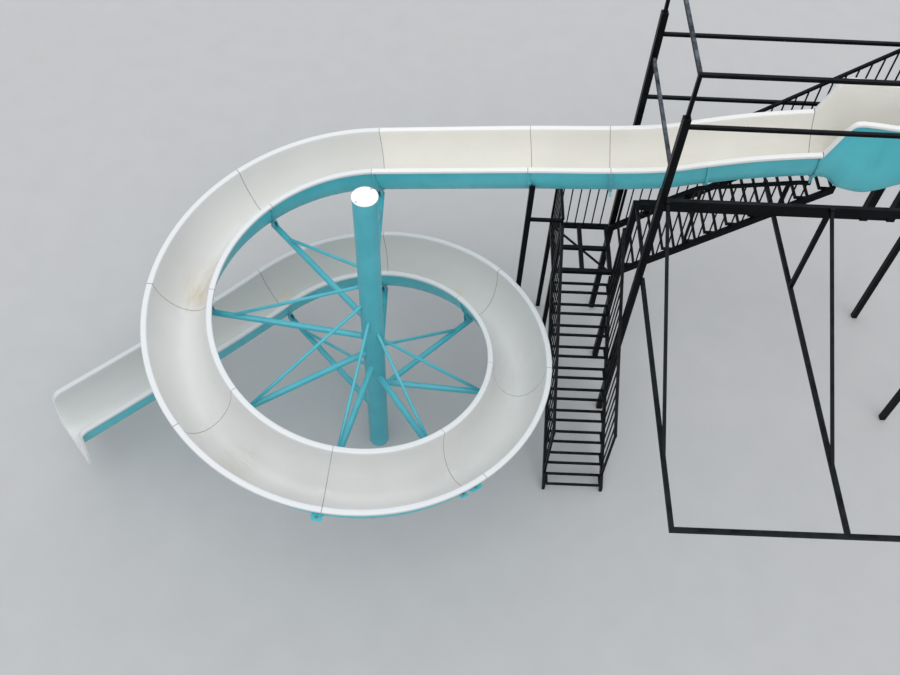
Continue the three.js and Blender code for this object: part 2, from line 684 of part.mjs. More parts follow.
function stringer(across, start, from, to, nosing) {
  const line = [[from, nosing(from)], [to, nosing(to)]];
  const bottom = STRINGER_BELOW_NOSING + STRINGER_DEPTH;
  return band(across, start, STRINGER_WIDTH, thicken(line, -STRINGER_BELOW_NOSING, bottom));
}

function addLowerFlight() {
  const end = LANDING_FRONT_Y - GAP;
  const pieces = [
    stringer('x', LOWER_LEFT_X, LOWER_FRONT_Y, end, lowerNosing),
    stringer('x', LOWER_RIGHT_X - STRINGER_WIDTH, LOWER_FRONT_Y, end, lowerNosing),
  ];
  const overlap = 2;
  const left = LOWER_LEFT_X + STRINGER_WIDTH - overlap;
  const right = LOWER_RIGHT_X - STRINGER_WIDTH + overlap;
  for (let step = 1; step < LOWER_STEPS; step += 1) {
    const y = LOWER_FRONT_Y + GOING * (step - 1);
    pieces.push(treadFrame(left, right, y, y + TREAD_DEPTH, LOWER_RISE * step));
  }
  const ground = block(LOWER_LEFT_X - 1, LOWER_RIGHT_X + 1, LOWER_FRONT_Y - 1, end, -2 * STRINGER_DEPTH, 0);
  addPiece('lower_flight', fuse(pieces, [ground]), steelMaterial());
}

function addLanding() {
  const b = LANDING_BEAM;
  const low = LANDING_TOP - b;
  const [x0, x1, y0, y1] = [LOWER_LEFT_X, LOWER_RIGHT_X, LANDING_FRONT_Y, LANDING_BACK_Y];
  const middleX = (x0 + x1) / 2;
  const middleY = (y0 + y1) / 2;
  const pieces = [
    block(x0, x1, y0, y0 + b, low, LANDING_TOP),
    block(x0, x1, y1 - b, y1, low, LANDING_TOP),
    block(x0, x0 + b, y0, y1, low, LANDING_TOP),
    block(x1 - b, x1, y0, y1, low, LANDING_TOP),
    block(x0, x1, middleY - TREAD_BAR, middleY + TREAD_BAR, low + CROSS_BAR_LIFT, LANDING_TOP),
    block(middleX - TREAD_BAR, middleX + TREAD_BAR, y0, y1, low + CROSS_BAR_LIFT, LANDING_TOP),
    block(x0, x0 + b, y0, y0 + b, 0, LANDING_TOP),
    block(x0, x0 + b, y1 - b, y1, 0, LANDING_TOP),
  ];
  const diagonalZ = low + DIAGONAL_LIFT;
  const diagonalFrom = new THREE.Vector3(x0 + b / 2, y1 - b / 2, diagonalZ);
  const diagonalTo = new THREE.Vector3(x1 - b / 2, y0 + b / 2, diagonalZ);
  pieces.push(rod(diagonalFrom, diagonalTo, LANDING_DIAGONAL, 4));
  addPiece('landing', fuse(pieces), steelMaterial());
}

function addUpperFlight() {
  const overlap = 2;
  const far = UPPER_FAR_Y - STRINGER_WIDTH;
  const pieces = [
    stringer('y', UPPER_NEAR_Y, LEFT_X + POST / 2 + GAP, NEAR_STRINGER_END_X, upperNosing),
    stringer('y', far, LOWER_RIGHT_X + GAP, DECK_LEFT_X - GAP, upperNosing),
    stringer('y', NARROW_NEAR_Y, NEAR_STRINGER_END_X - STRINGER_LAP, DECK_LEFT_X - GAP, upperNosing),
  ];
  for (let step = 1; step < UPPER_STEPS; step += 1) {
    const x = UPPER_FIRST_X + GOING * (step - 1);
    const side = step < NARROW_FROM_STEP ? UPPER_NEAR_Y : NARROW_NEAR_Y;
    const top = LANDING_TOP + UPPER_RISE * step;
    pieces.push(treadFrame(x, x + TREAD_DEPTH, side + STRINGER_WIDTH - overlap, far + overlap, top));
  }
  addPiece('upper_flight', fuse(pieces), steelMaterial());
}

// A railing panel in an upright plane, from a line at its foot to a handrail line.
// Newels are listed as their place along the panel and their width.
function railing(across, middle, top, foot, newels, balusterFrom, balusterTo) {
  const pieces = [
    band(across, middle - HANDRAIL / 2, HANDRAIL, thicken(top, 0, HANDRAIL)),
    band(across, middle - BALUSTER, 2 * BALUSTER, thicken(foot, BOTTOM_RAIL, 0)),
  ];
  const inFoot = BOTTOM_RAIL * SUNK_SHARE;
  const inTop = HANDRAIL * SUNK_SHARE;
  const bar = (s, wide, thick) => {
    const [from, to] = [s - wide / 2, s + wide / 2];
    return band(across, middle - thick / 2, thick, [
      [from, heightOn(foot, from) + inFoot], [to, heightOn(foot, to) + inFoot],
      [to, heightOn(top, to) - inTop], [from, heightOn(top, from) - inTop]]);
  };
  const count = Math.floor((balusterTo - balusterFrom) / BALUSTER_PITCH);
  for (let i = 0; i <= count; i += 1) {
    pieces.push(bar(balusterFrom + i * BALUSTER_PITCH, BALUSTER, BALUSTER));
  }
  newels.forEach(([s, wide]) => pieces.push(bar(s, wide, wide > NEWEL ? wide : NEWEL_THICKNESS)));
  return fuse(pieces);
}

const lineOver = (from, to, nosing, above) => [[from, nosing(from) + above], [to, nosing(to) + above]];
const FOOT_RAIL_ABOVE_NOSING = GAP - STRINGER_BELOW_NOSING;

function addLowerRailings() {
  const from = LOWER_FRONT_Y + RAILING_SETBACK;
  const to = LANDING_FRONT_Y - RAILING_END_GAP;
  const top = lineOver(from - NEWEL / 2, to, lowerNosing, HANDRAIL_ABOVE_NOSING);
  const foot = lineOver(from - NEWEL / 2, to, lowerNosing, FOOT_RAIL_ABOVE_NOSING);
  const newels = [[from, NEWEL], [to - NEWEL / 2, NEWEL]];
  const middles = {
    lower_left_railing: LOWER_LEFT_X + STRINGER_WIDTH / 2,
    lower_right_railing: LOWER_RIGHT_X - STRINGER_WIDTH / 2,
  };
  Object.entries(middles).forEach(([name, middle]) => {
    const geometry = railing('x', middle, top, foot, newels, from + BALUSTER_PITCH, to - BALUSTER_PITCH / 2);
    addPiece(name, geometry, steelMaterial());
  });
}

function addLandingRailings() {
  const footZ = LANDING_TOP + GAP;
  const topZ = LANDING_TOP + HANDRAIL_ABOVE_NOSING + LANDING_RAIL_LIFT;
  const left = LOWER_LEFT_X + STRINGER_WIDTH / 2;
  const back = LANDING_BACK_Y - STRINGER_WIDTH / 2;
  const front = LANDING_FRONT_Y + LANDING_RAIL_SETBACK;
  const sideEnd = back - HANDRAIL / 2 - GAP;
  const side = railing('x', left, [[front, topZ], [sideEnd, topZ]], [[front, footZ], [sideEnd, footZ]],
    [[front + NEWEL / 2, NEWEL]], front + BALUSTER_PITCH, back - BALUSTER_PITCH / 2);
  addPiece('landing_left_railing', side, steelMaterial());
  const start = LOWER_LEFT_X;
  const end = LOWER_RIGHT_X;
  const rear = railing('y', back, [[start, topZ], [end, topZ]], [[start, footZ], [end, footZ]],
    [[start + NEWEL / 2, NEWEL]], start + BALUSTER_PITCH, end - BALUSTER_PITCH / 2);
  addPiece('landing_back_railing', rear, steelMaterial());
}

function addUpperRailings() {
  const start = LEFT_X + POST / 2 + GAP;
  const [footTo] = NEAR_HANDRAIL_END;
  const nearTop = [[start, NEAR_HANDRAIL_Z], ...NEAR_HANDRAIL_BENDS, NEAR_HANDRAIL_END];
  const nearFoot = lineOver(start, footTo, upperNosing, FOOT_RAIL_ABOVE_NOSING);
  const near = railing('y', UPPER_NEAR_Y + STRINGER_WIDTH / 2, nearTop, nearFoot,
    NEAR_NEWELS_X.map((x) => [x, NEWEL]), start + BALUSTER_PITCH / 2, footTo - BALUSTER);
  addPiece('upper_near_railing', near, steelMaterial());
  const farEnd = DECK_LEFT_X - FAR_RAILING_SHORT;
  const farTop = lineOver(start, farEnd, upperNosing, HANDRAIL_ABOVE_NOSING);
  const farFoot = lineOver(start, farEnd, upperNosing, FOOT_RAIL_ABOVE_NOSING);
  const far = railing('y', UPPER_FAR_Y - STRINGER_WIDTH / 2, farTop, farFoot,
    [[start + NEWEL / 2, NEWEL], [farEnd - TOP_NEWEL / 2, TOP_NEWEL]],
    start + BALUSTER_PITCH, farEnd - BALUSTER_PITCH);
  addPiece('upper_far_railing', far, steelMaterial());
}

// What carries the flume from below
function addSlideSupports() {
  const joint = STRAIGHT_JOINTS[1];
  const near = fromSlide(new THREE.Vector3(joint + LEG_PAST_JOINT, FLUME_RADIUS - LEG_ASIDE, 0));
  const legTop = smoothHeight(STRAIGHT_LIP, joint) - LEG_TOP_BELOW_LIP;
  const straightBlank = slideBlank([joint - LEG_CUT_REACH, joint, joint + LEG_CUT_REACH].map(
    (distance) => straightPlace(distance, smoothHeight(STRAIGHT_LIP, distance))));
  const half = LEG_ARM / 2;
  const armTop = CANOPY_Z - half;
  const arm = block(near.x, LOWER_LEFT_X - GAP, near.y - half, near.y + half, armTop - LEG_ARM, armTop);
  const leg = fuse([upright(near.x, near.y, STRAIGHT_LEG, 0, legTop), arm], [straightBlank]);
  addPiece('straight_leg', leg, steelMaterial());

  const belly = TUB_PROFILE.slice(PAST_TUB_MOUTH);
  const tubBlank = loft(belly.map(([s, top, bottom]) => ({
    outline: clearanceOutline(top - bottom, 0, FULL_BOWL), place: straightPlace(s, top, 0),
  })));
  tubBlank.rotateZ(SLIDE_TURN).translate(HELIX_CENTRE_X, HELIX_CENTRE_Y, 0);
  const beamHalf = CROSS_BEAM_WIDTH / 2;
  const foot = CROSS_BEAM_TOP - CROSS_BEAM_DEPTH;
  const support = fuse([
    block(LEFT_X + POST / 2 + GAP, DECK_PROP_X, CROSS_BEAM_Y - beamHalf, CROSS_BEAM_Y + beamHalf,
      foot, CROSS_BEAM_TOP),
    upright(TUB_POST_X, CROSS_BEAM_Y, TUB_POST, foot, TUB_POST_TOP),
    upright(DECK_PROP_X, CROSS_BEAM_Y, TUB_POST, foot, BACK_BEAM_Z + RAIL / 2),
  ], [tubBlank]);
  addPiece('tub_support', support, steelMaterial());
}

addBends();
addStraights();
addStartTub();
addRunOut();
addColumn();
addArms();
addTowerPosts();
addTowerRails();
addDeck();
addCanopyFrame();
addLowerFlight();
addLanding();
addUpperFlight();
addLowerRailings();
addLandingRailings();
addUpperRailings();
addSlideSupports();

export default part;
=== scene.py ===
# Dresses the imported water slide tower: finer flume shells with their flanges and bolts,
# round steelwork for the column and its arms, and weathered paint with a painted sky sheen on the square
# tubes.
# Metres, in the row frame. Sizes that come from the solids are kept in millimetres and
# turned into metres where a vertex is placed.
import json
import math

import bpy
from mathutils import Matrix, Vector


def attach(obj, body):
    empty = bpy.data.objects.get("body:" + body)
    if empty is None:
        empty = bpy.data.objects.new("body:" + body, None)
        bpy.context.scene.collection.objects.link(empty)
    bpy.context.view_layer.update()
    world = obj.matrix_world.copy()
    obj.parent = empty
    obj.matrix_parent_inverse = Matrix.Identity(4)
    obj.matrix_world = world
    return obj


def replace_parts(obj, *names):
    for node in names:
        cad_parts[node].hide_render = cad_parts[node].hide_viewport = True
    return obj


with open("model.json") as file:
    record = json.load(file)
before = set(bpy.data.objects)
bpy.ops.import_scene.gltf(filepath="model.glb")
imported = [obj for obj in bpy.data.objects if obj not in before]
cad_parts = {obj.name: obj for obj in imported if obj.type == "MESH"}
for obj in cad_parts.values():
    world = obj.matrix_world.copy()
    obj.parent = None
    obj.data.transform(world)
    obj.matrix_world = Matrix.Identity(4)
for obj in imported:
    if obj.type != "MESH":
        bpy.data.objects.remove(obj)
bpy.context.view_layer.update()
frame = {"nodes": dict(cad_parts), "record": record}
MM = 0.001

# Helix and straight, as in the solids
HELIX_CENTRE = (-222.0, 60.0)
SLIDE_TURN = math.radians(-3.5)
FLUME_RADIUS = 2083.5
HELIX_TOP_LIP = 3651.0
DROP_PER_RADIAN = 320.2
FIRST_JOINT = math.pi / 2
BEND = math.pi / 4
BEND_COUNT = 9
LAST_JOINT = FIRST_JOINT + BEND_COUNT * BEND
JOINT_TILT = DROP_PER_RADIAN / FLUME_RADIUS
STRAIGHT_LIP = [(0, 3651), (1942, 3900), (2942, 4008), (3608, 4112), (4067, 4250),
                (4517, 4378), (4958, 4475), (5317, 4540)]
STRAIGHT_JOINTS = [0, 1942, 2942, 5317]
MIDDLE_RIB = 4083
TUB_RIM = [(5317, 4540), (5395, 4750), (5475, 4960), (5540, 5030), (5717, 5038),
           (5890, 5025), (6058, 5015), (6242, 5000), (6400, 4990), (6505, 4985)]
TUB_BELLY = [(5317, 3923), (5395, 3925), (5475, 3930), (5540, 3905), (5717, 3845),
             (5890, 3802), (6058, 3790), (6242, 3865), (6400, 3965), (6505, 4025)]
TUB_TILT_FADE = 400.0
RUN_OUT_LENGTH = 3285.0
RUN_OUT_DROP = 126.0
RUN_OUT_FADE = 800.0
END_CORNER = 130.0
END_CORNER_REACH = 0.96
END_TILT = -0.1
PANEL_THICKNESS = 40.0
PANEL_HALF_WIDTH = 410.0
PANEL_DEPTH = 715.0
PANEL_LAP = 6.0
PANEL_EASE = 3.0
PANEL_CORNER = 14.0
PANEL_CORNER_CUT = 4.0
HALF_GAP = 0.15

# Flume section
BOWL_HALF_WIDTH = 352.0
INNER_HALF_WIDTH = 340.0
FLUME_DEPTH = 617.0
SHELL = 12.0
BOWL_STEPS = 14
ROUND_BOWL = 2.0
FULL_BOWL = 4.0
RIB = 28.0
RIB_WIDTH = 16.0
JOINT_LINE = 3.0
JOINT_GROOVE = 5.0
RIM_OUTSIDE = [(378, 0), (398, 0), (405, -2), (410, -6.5), (412, -13), (412, -34), (410, -39.5),
               (405.5, -42), (401.5, -39.5), (400, -35)]
RIM_INSIDE = [(364, 0), (354, -1), (346.5, -5), (342, -11)]
SURFACES = {"rim": 0, "inside": 1, "outside": 2, "joint": 3}

# Rings along each length of flume
BEND_STEPS = 18
STRAIGHT_STEP = 110
FEWEST_STEPS = 8
TUB_STEPS = 44
RUN_OUT_STEPS = 26
END_CORNER_STEPS = 14
END_INSET = 1

# Bolts, feet and ears
BOLTS_PER_JOINT = 11
FIRST_BOLT = 0.7
BOLT_SPARE = 0.4
WASHER = 0.002
WASHER_REACH = 0.75
HEXAGON_CORNER = 1.155
BOLT_EASE = 0.001
FOOT_PLACE = 150
FOOT_WIDTH = 52.0
FOOT_DROP = 88.0
FOOT_PLATE = 10.0
FOOT_LAP = 30
FOOT_CORNER = 12
EARS = ((4, -35, 50, 458), (5, -92, 62, 420), (5, -240, 40, 424))
EAR_BELOW_LIP = 150.0
EAR_THICKNESS = 10.0
EAR_ROUND = 14.0
EAR_ROOT = 345
EAR_BOLT_INSET = 40

# Column and arms
COLUMN_RADIUS = 136.5
COLUMN_HEIGHT = 5000.0
COLUMN_SIDES = 96
STRUT_RADIUS = 40.0
STRUT_SIDES = 40
STRUT_EASE = 0.003
TIE_RADIUS = 21.0
TIE_SIDES = 28
STRUT_REACH = 1900.0
TIE_REACH = 1600.0
STRUT_ROOT_DROP = 625.0
STRUT_END_DROP = 588.0
TIE_ROOT_RISE = 365.0
ROOT_DISTANCE = (COLUMN_RADIUS - STRUT_RADIUS) * MM
TIE_WELD_BACK = 0.055
WELD_PROFILE = [(-0.006, 0.0), (-0.003, 0.004), (0.001, 0.0055), (0.005, 0.004), (0.008, 0.0)]
WELD_SIDES = 40
CHEEK_ASIDE = 24.0
CHEEK_THICKNESS = 10.0
CHEEK_TOP = (-175, -200, -225, -250, -275, -293)
CHEEK_FOOT = (-293, -183)
CHEEK_SHORTEST = 2
CHEEK_CLEARANCE = 1

# Edges sharper than this many degrees stay hard
SHARP = 32.0
BOLT_SHARP = 20.0


# Node graphs
class Graph:
    """A small helper for building one material's nodes."""

    def __init__(self, name):
        self.material = bpy.data.materials.new(name)
        self.material.use_nodes = True
        self.tree = self.material.node_tree
        self.tree.nodes.clear()
        self.out = self.node("ShaderNodeOutputMaterial")
        self.shader = self.node("ShaderNodeBsdfPrincipled")
        self.link(self.shader.outputs[0], self.out.inputs[0])

    def node(self, kind, **settings):
        made = self.tree.nodes.new(kind)
        for key, value in settings.items():
            setattr(made, key, value)
        return made

    def link(self, source, target):
        self.tree.links.new(source, target)

    def put(self, socket, value):
        if isinstance(value, bpy.types.NodeSocket):
            self.link(value, socket)
        else:
            socket.default_value = value

    def position(self):
        return self.node("ShaderNodeTexCoord").outputs["Object"]

    def flow(self):
        """X is the way down the slide in metres, Y the way round the section."""
        return self.node("ShaderNodeUVMap", uv_map="flow").outputs[0]

    def scaled(self, source, scale):
        mapping = self.node("ShaderNodeMapping")
        self.link(source, mapping.inputs["Vector"])
        mapping.inputs["Scale"].default_value = scale
        return mapping.outputs[0]

    def noise(self, scale, detail=4.0, roughness=0.55, vector=None):
        made = self.node("ShaderNodeTexNoise")
        self.link(vector or self.position(), made.inputs["Vector"])
        made.inputs["Scale"].default_value = scale
        made.inputs["Detail"].default_value = detail
        made.inputs["Roughness"].default_value = roughness
        return made.outputs["Fac"]

    def span(self, value, low, high, to_low=0.0, to_high=1.0):
        made = self.node("ShaderNodeMapRange", interpolation_type="SMOOTHSTEP")
        self.put(made.inputs["Value"], value)
        for key, number in (("From Min", low), ("From Max", high), ("To Min", to_low), ("To Max", to_high)):
            made.inputs[key].default_value = number
        return made.outputs["Result"]

    def combine(self, kind, a, b):
        made = self.node("ShaderNodeMath", operation=kind)
        self.put(made.inputs[0], a)
        self.put(made.inputs[1], b)
        return made.outputs[0]

    def times(self, a, b):
        return self.combine("MULTIPLY", a, b)

    def mix(self, amount, a, b):
        made = self.node("ShaderNodeMix", data_type="RGBA")
        self.put(made.inputs[0], amount)
        self.put(made.inputs[6], a)
        self.put(made.inputs[7], b)
        return made.outputs[2]

    def mottle(self, noise, low, high, a, b):
        """One colour that drifts to another as the noise goes from low to high."""
        return self.mix(self.span(noise, low, high), a, b)

    def over(self, colour, mask, strength, tint):
        """The colour with a tint laid over it where the mask is."""
        return self.mix(self.times(mask, strength), colour, tint)

    def part(self, vector, axis):
        parts = self.node("ShaderNodeSeparateXYZ")
        self.link(vector, parts.inputs[0])
        return parts.outputs[axis]

    def near(self, point, inner, outer):
        """1 within inner metres of the point, 0 beyond outer."""
        away = self.node("ShaderNodeVectorMath", operation="DISTANCE")
        self.link(self.position(), away.inputs[0])
        away.inputs[1].default_value = point
        return self.span(away.outputs["Value"], inner, outer, 1.0, 0.0)

    def facing_up(self, low, high):
        normal = self.node("ShaderNodeNewGeometry").outputs["Normal"]
        return self.span(self.part(normal, "Z"), low, high)

    def height(self, low, high):
        return self.span(self.part(self.position(), "Z"), low, high)

    def bump(self, value, strength, distance):
        made = self.node("ShaderNodeBump")
        made.inputs["Strength"].default_value = strength
        made.inputs["Distance"].default_value = distance
        self.link(value, made.inputs["Height"])
        self.link(made.outputs[0], self.shader.inputs["Normal"])

    def finish(self, colour, roughness, metallic=0.0, specular=0.5):
        self.put(self.shader.inputs["Base Color"], colour)
        self.put(self.shader.inputs["Roughness"], roughness)
        self.put(self.shader.inputs["Metallic"], metallic)
        self.put(self.shader.inputs["Specular IOR Level"], specular)
        return self.material


def grey(value):
    return (value, value, value, 1.0)


def lower_turn_shade(g):
    """0 above, 1 on the last bends and the run-out, which are greyed with painted shade."""
    return g.span(g.part(g.flow(), "X"), 13.0, 17.0)


def rim_material():
    g = Graph("white_rim_gelcoat")
    dirt = g.span(g.noise(9.0, 6.0, 0.6), 0.56, 0.80)
    fine = g.span(g.noise(60.0, 4.0, 0.6), 0.48, 0.78)
    # Painted shade: the rim is greyer down the helix than on the straight, and greyer again on the last bends
    # and the run-out.
    along = g.span(g.part(g.flow(), "X"), -0.5, 5.0)
    base = g.mix(along, (0.735, 0.725, 0.705, 1), (0.630, 0.645, 0.648, 1))
    base = g.mix(lower_turn_shade(g), base, (0.530, 0.545, 0.550, 1))
    colour = g.over(base, dirt, 0.22, (0.52, 0.51, 0.47, 1))
    colour = g.over(colour, fine, 0.08, (0.55, 0.54, 0.50, 1))
    g.bump(g.noise(14.0, 3.0), 0.12, 0.004)
    return g.finish(colour, g.span(dirt, 0.0, 1.0, 0.30, 0.46))


def inside_material(stains):
    """stains: (point, inner and outer reach in metres, strength, tint)."""
    g = Graph("cream_inside_gelcoat")
    helix_noise, straight_noise = g.noise(0.9, 3.0, 0.5), g.noise(1.2, 3.0, 0.5)
    # Painted shade: the one cream gelcoat is greyer on the helix than on the straight, and greyer again on
    # the last bends and the run-out.
    helix = g.mottle(helix_noise, 0.35, 0.65, (0.615, 0.62, 0.605, 1), (0.655, 0.66, 0.64, 1))
    straight = g.mottle(straight_noise, 0.35, 0.65, (0.735, 0.720, 0.668, 1), (0.770, 0.754, 0.698, 1))
    along = g.part(g.flow(), "X")
    base = g.mix(g.span(along, -0.5, 6.0), straight, helix)
    base = g.mix(lower_turn_shade(g), base, (0.570, 0.580, 0.565, 1))
    streak = g.noise(1.0, 6.0, 0.6, g.scaled(g.flow(), (0.7, 13.0, 1.0)))
    colour = g.over(base, g.span(streak, 0.52, 0.82), 0.12, (0.52, 0.49, 0.42, 1))
    blotch = g.span(g.noise(5.0, 7.0, 0.65), 0.58, 0.82)
    colour = g.over(colour, blotch, 0.10, (0.48, 0.44, 0.36, 1))
    speck = g.span(g.noise(85.0, 2.0, 0.5), 0.71, 0.80)
    colour = g.over(colour, speck, 0.22, (0.30, 0.27, 0.22, 1))
    cloud = g.span(g.noise(1.0, 8.0, 0.7, g.scaled(g.flow(), (4.0, 9.0, 1.0))), 0.40, 0.62, 0.3, 1.0)
    for point, inner, outer, strength, tint in stains:
        mask = g.times(g.near(point, inner, outer), cloud)
        colour = g.over(colour, mask, strength, tint)
    g.bump(g.noise(4.0, 3.0), 0.10, 0.01)
    return g.finish(colour, g.span(blotch, 0.0, 1.0, 0.33, 0.5))


def outside_material():
    g = Graph("teal_outside_gelcoat")
    base = g.mottle(g.noise(2.2, 4.0), 0.35, 0.68, (0.075, 0.485, 0.545, 1), (0.088, 0.530, 0.600, 1))
    runs = g.noise(1.0, 5.0, 0.6, g.scaled(g.position(), (9.0, 9.0, 0.8)))
    colour = g.over(base, g.span(runs, 0.55, 0.82), 0.14, (0.035, 0.20, 0.24, 1))
    pale = g.span(g.noise(22.0, 6.0, 0.7), 0.68, 0.82)
    colour = g.over(colour, pale, 0.30, (0.42, 0.60, 0.62, 1))
    under_rim = g.span(g.part(g.flow(), "Y"), -0.26, -0.31)
    chipped_length = g.span(g.part(g.flow(), "X"), -0.45, -0.6)
    chips = g.span(g.noise(30.0, 6.0, 0.7), 0.56, 0.62)
    chips = g.times(chips, g.times(under_rim, chipped_length))
    colour = g.over(colour, chips, 0.7, (0.50, 0.42, 0.30, 1))
    g.bump(g.noise(30.0, 5.0, 0.6), 0.18, 0.003)
    return g.finish(colour, g.span(runs, 0.3, 0.8, 0.30, 0.48))


def column_material():
    g = Graph("teal_paint_on_steel")
    base = g.mottle(g.noise(3.0, 4.0), 0.35, 0.65, (0.060, 0.375, 0.445, 1), (0.075, 0.415, 0.480, 1))
    runs = g.noise(1.0, 6.0, 0.65, g.scaled(g.position(), (16.0, 16.0, 1.1)))
    colour = g.over(base, g.span(runs, 0.55, 0.82), 0.30, (0.035, 0.22, 0.26, 1))
    rust = g.span(g.noise(18.0, 9.0, 0.7), 0.635, 0.70)
    rust_amount = g.times(rust, g.combine("ADD", 0.12, g.height(0.35, 0.0)))
    colour = g.mix(rust_amount, colour, (0.19, 0.075, 0.03, 1))
    g.bump(g.noise(70.0, 4.0, 0.6), 0.14, 0.002)
    return g.finish(colour, g.span(rust_amount, 0.0, 1.0, 0.36, 0.8))


def steel_material(name, dust_and_sheen_amount):
    g = Graph(name)
    base = g.mottle(g.noise(4.0, 5.0), 0.35, 0.68, (0.0022, 0.0025, 0.0032, 1), (0.0040, 0.0046, 0.0058, 1))
    # Upward faces lighter and bluer: partly dust, partly a painted sky reflection on the glossy paint.
    dust_and_sheen = g.times(g.facing_up(0.35, 0.95), g.span(g.noise(7.0, 7.0, 0.65), 0.25, 0.70))
    colour = g.over(base, dust_and_sheen, dust_and_sheen_amount, (0.105, 0.125, 0.148, 1))
    rust = g.span(g.noise(23.0, 9.0, 0.72), 0.665, 0.71)
    colour = g.over(colour, rust, 0.5, (0.085, 0.034, 0.016, 1))
    chip = g.span(g.noise(75.0, 3.0, 0.5), 0.745, 0.77)
    colour = g.over(colour, chip, 0.5, grey(0.20))
    g.bump(g.noise(95.0, 4.0, 0.6), 0.16, 0.0015)
    return g.finish(colour, g.span(dust_and_sheen, 0.0, 1.0, 0.38, 0.58), specular=0.06)


def cap_material():
    g = Graph("white_cap_paint")
    large_spot = g.near((0.060, 0.118, 5.0), 0.010, 0.030)
    small_spot = g.near((-0.083, -0.080, 5.0), 0.006, 0.024)
    spots = g.combine("MAXIMUM", large_spot, small_spot)
    chip = g.times(spots, g.span(g.noise(60.0, 6.0, 0.65), 0.42, 0.52))
    colour = g.mix(chip, (0.88, 0.885, 0.88, 1), (0.20, 0.13, 0.08, 1))
    g.bump(g.noise(40.0, 4.0), 0.15, 0.002)
    return g.finish(colour, g.span(chip, 0.0, 1.0, 0.45, 0.75))


def joint_material():
    g = Graph("joint_sealant")
    colour = g.mottle(g.noise(14.0, 4.0), 0.35, 0.65, grey(0.10), (0.22, 0.20, 0.17, 1))
    return g.finish(colour, 0.8)


def bolt_material():
    g = Graph("zinc_bolt")
    rust = g.span(g.noise(40.0, 6.0, 0.7), 0.55, 0.70)
    colour = g.mix(rust, grey(0.34), (0.16, 0.08, 0.04, 1))
    return g.finish(colour, g.span(rust, 0.0, 1.0, 0.42, 0.8), g.span(rust, 0.0, 1.0, 0.8, 0.1))


# Places on the slide
def turned(x, y, z):
    c, s = math.cos(SLIDE_TURN), math.sin(SLIDE_TURN)
    return Vector((HELIX_CENTRE[0] + x * c - y * s, HELIX_CENTRE[1] + x * s + y * c, z)) * MM


def around(angle, along, lip):
    """Places at an angle of the helix: along(z) is the way past it, square to the radius."""
    c, s = math.cos(angle), math.sin(angle)
    return lambda x, z: turned(
        (FLUME_RADIUS + x) * c - along(z) * s, (FLUME_RADIUS + x) * s + along(z) * c, lip + z)


def helix_place(angle):
    return around(angle, lambda z: JOINT_TILT * z, HELIX_TOP_LIP - DROP_PER_RADIAN * (angle - FIRST_JOINT))


def joint_place(joint, past=0.0):
    """Places at a joint of the helix, or a few millimetres past it."""
    return helix_place(FIRST_JOINT + joint * BEND + past / FLUME_RADIUS)


def straight_place(distance, lip, tilt=JOINT_TILT):
    return lambda x, z: turned(distance - tilt * z, FLUME_RADIUS + x, lip + z)


def on_straight(s):
    return straight_place(s, smooth_height(STRAIGHT_LIP, s))


def run_out_place(distance, lip):
    tilt = JOINT_TILT + (END_TILT - JOINT_TILT) * distance / RUN_OUT_LENGTH
    return around(LAST_JOINT, lambda z: distance + tilt * z, lip)


def smooth_height(line, s):
    """Height at s on a smooth curve through the points of a line."""
    last = len(line) - 1

    def slope(i):
        x0, z0 = line[max(0, i - 1)]
        x1, z1 = line[min(last, i + 1)]
        return (z1 - z0) / (x1 - x0)

    nxt = max(1, next((i for i, (x, _) in enumerate(line) if x >= s), last))
    (x0, z0), (x1, z1) = line[nxt - 1], line[nxt]
    span = x1 - x0
    t = (s - x0) / span
    value = z0 * (2 * t ** 3 - 3 * t ** 2 + 1) + z1 * (3 * t ** 2 - 2 * t ** 3)
    return value + span * (slope(nxt - 1) * (t ** 3 - 2 * t ** 2 + t) + slope(nxt) * (t ** 3 - t ** 2))


def run_out_lip(distance):
    """The lip's height before the end corner, and how far the corner lowers it."""
    whole = 1 - math.exp(-RUN_OUT_LENGTH / RUN_OUT_FADE)
    fall = RUN_OUT_DROP * (1 - math.exp(-distance / RUN_OUT_FADE)) / whole
    past = max(0.0, distance - (RUN_OUT_LENGTH - END_CORNER))
    reach = min(past, END_CORNER * END_CORNER_REACH)
    corner = END_CORNER - math.sqrt(END_CORNER ** 2 - reach ** 2)
    return HELIX_TOP_LIP - DROP_PER_RADIAN * BEND_COUNT * BEND - fall, corner


def square_to(place):
    """The direction through the section at a place, square to it."""
    return (place(100, 0) - place(0, 0)).cross(place(0, 100) - place(0, 0)).normalized()


def rib_depth(x, more=0):
    """How far below the lip the outside of a rib lies at x."""
    return (FLUME_DEPTH + RIB + more) * math.sqrt(1 - (x / (BOWL_HALF_WIDTH + RIB + more)) ** 2)


def evenly(start, end, steps):
    return [start + (end - start) * i / steps for i in range(steps + 1)]


# Flume section as (x, z, surface of the stretch that follows)
def bowl(half_width, depth, fullness):
    turns = [i / BOWL_STEPS * math.pi / 2 for i in range(1, BOWL_STEPS)]
    power = 2 / fullness
    points = [(half_width * math.cos(t) ** power, -depth * math.sin(t) ** power) for t in turns]
    return points + [(0.02 * half_width, -depth)]


def half_section(depth, rib, fullness):
    wall = BOWL_HALF_WIDTH + rib
    under_rim = [(400, -16), (398, -14), (wall + 4, -14), (wall, -18)]
    outside = [(x, z, "rim") for x, z in RIM_OUTSIDE]
    outside += [(x, z, "outside") for x, z in under_rim + bowl(wall, depth + rib, fullness)]
    inside = [(x, z, "rim") for x, z in RIM_INSIDE] + [(INNER_HALF_WIDTH, -18, "inside")]
    inside += [(x, z, "inside") for x, z in bowl(INNER_HALF_WIDTH, depth - SHELL, fullness)]
    return outside, inside


def mirrored(half):
    """The other half of a section, with each stretch keeping its surface."""
    back = list(reversed(half))
    tags = [tag for _, _, tag in back[1:]] + ["rim"]
    return [(-x, z, tag) for (x, z, _), tag in zip(back, tags)]


